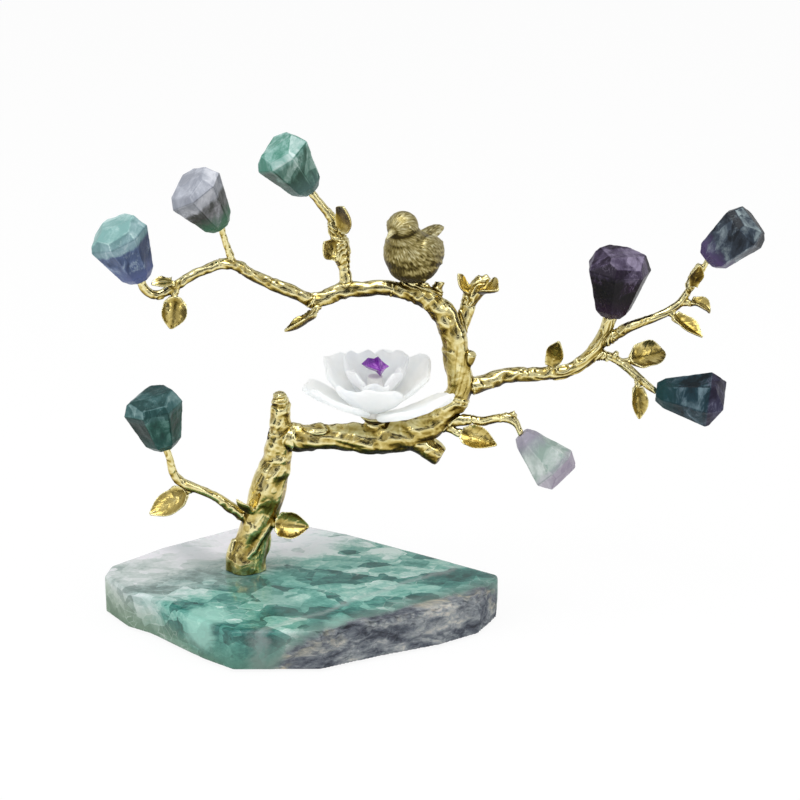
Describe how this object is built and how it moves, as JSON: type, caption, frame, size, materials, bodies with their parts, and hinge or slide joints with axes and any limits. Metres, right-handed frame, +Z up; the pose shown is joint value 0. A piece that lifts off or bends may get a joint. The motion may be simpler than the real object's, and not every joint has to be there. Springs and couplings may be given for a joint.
{
  "type": "gemstone tree ornament",
  "caption": "Table ornament: a cast brass branch on a green fluorite slab, with cut fluorite stones on its twigs, a white flower with an amethyst heart and a perched bird.",
  "frame": {"origin": "under the middle of the slab's length and depth, on the table that the felt rests on", "axes": "+X along the slab's length towards the long limb on the right, +Y from the front, where the flower opens, to the back, +Z up"},
  "size_m": [0.3608, 0.138, 0.279],
  "materials": {
    "cast_brass": "cast and polished, with a dark patina in its hollows",
    "bird_brass": "matt antique gold",
    "steel": "plain zinc plated",
    "felt": "black felt",
    "fluorite_slab": "top polished, sides rough sawn",
    "fluorite_mint": "rough cut and tumbled",
    "fluorite_lilac": "rough cut and tumbled",
    "fluorite_green": "rough cut and tumbled",
    "fluorite_teal": "rough cut and tumbled",
    "fluorite_purple": "rough cut and tumbled",
    "fluorite_blue": "rough cut and tumbled",
    "fluorite_pale": "rough cut and tumbled",
    "white_stone": "carved, frosted white",
    "core_resin": "white cast resin",
    "amethyst": "rough crystal"
  },
  "bodies": {
    "root": {"fluorite_slab": "fluorite_slab", "base_felt": "felt", "base_washer": "steel", "base_bolt": "steel", "trunk": "cast_brass", "trunk_bark_leaf": "cast_brass", "trunk_bud_flake": "cast_brass", "low_left_twig": "cast_brass", "low_left_leaf": "cast_brass", "stone_low_left": "fluorite_teal", "main_bough": "cast_brass", "bottom_right_leaf": "cast_brass", "bottom_right_twig": "cast_brass", "stone_pale": "fluorite_pale", "upright_limb": "cast_brass", "bud_twig": "cast_brass", "bud_narrow_leaf": "cast_brass", "bud_broad_leaf": "cast_brass", "right_limb": "cast_brass", "right_limb_leaf": "cast_brass", "stone_dark_purple": "fluorite_purple", "right_upper_twig": "cast_brass", "upper_down_leaf": "cast_brass", "upper_curled_leaf": "cast_brass", "upper_blade_leaf": "cast_brass", "stone_upper_right": "fluorite_blue", "right_lower_twig": "cast_brass", "lower_broad_leaf": "cast_brass", "lower_down_leaf": "cast_brass", "stone_teal_right": "fluorite_teal", "arch_limb": "cast_brass", "arch_leaf": "cast_brass", "top_twig": "cast_brass", "top_pointed_leaf": "cast_brass", "top_curled_leaf": "cast_brass", "stone_top": "fluorite_green", "outer_arch_limb": "cast_brass", "upper_left_stem": "cast_brass", "stone_upper_left": "fluorite_lilac", "left_tip_twig": "cast_brass", "hanging_leaf": "cast_brass", "tip_bract": "cast_brass", "stone_far_left": "fluorite_mint", "flower_cup": "cast_brass", "flower_core": "core_resin", "petal_left": "white_stone", "petal_low_right": "white_stone", "petal_back": "white_stone", "petal_front": "white_stone", "petal_right": "white_stone", "petal_back_left": "white_stone", "petal_rear_right": "white_stone", "petal_rear_left": "white_stone", "petal_inner_left": "white_stone", "petal_inner_front": "white_stone", "petal_inner_right": "white_stone", "amethyst_heart": "amethyst", "bird": "bird_brass", "bird_pin": "steel"}
  },
  "joints": []
}
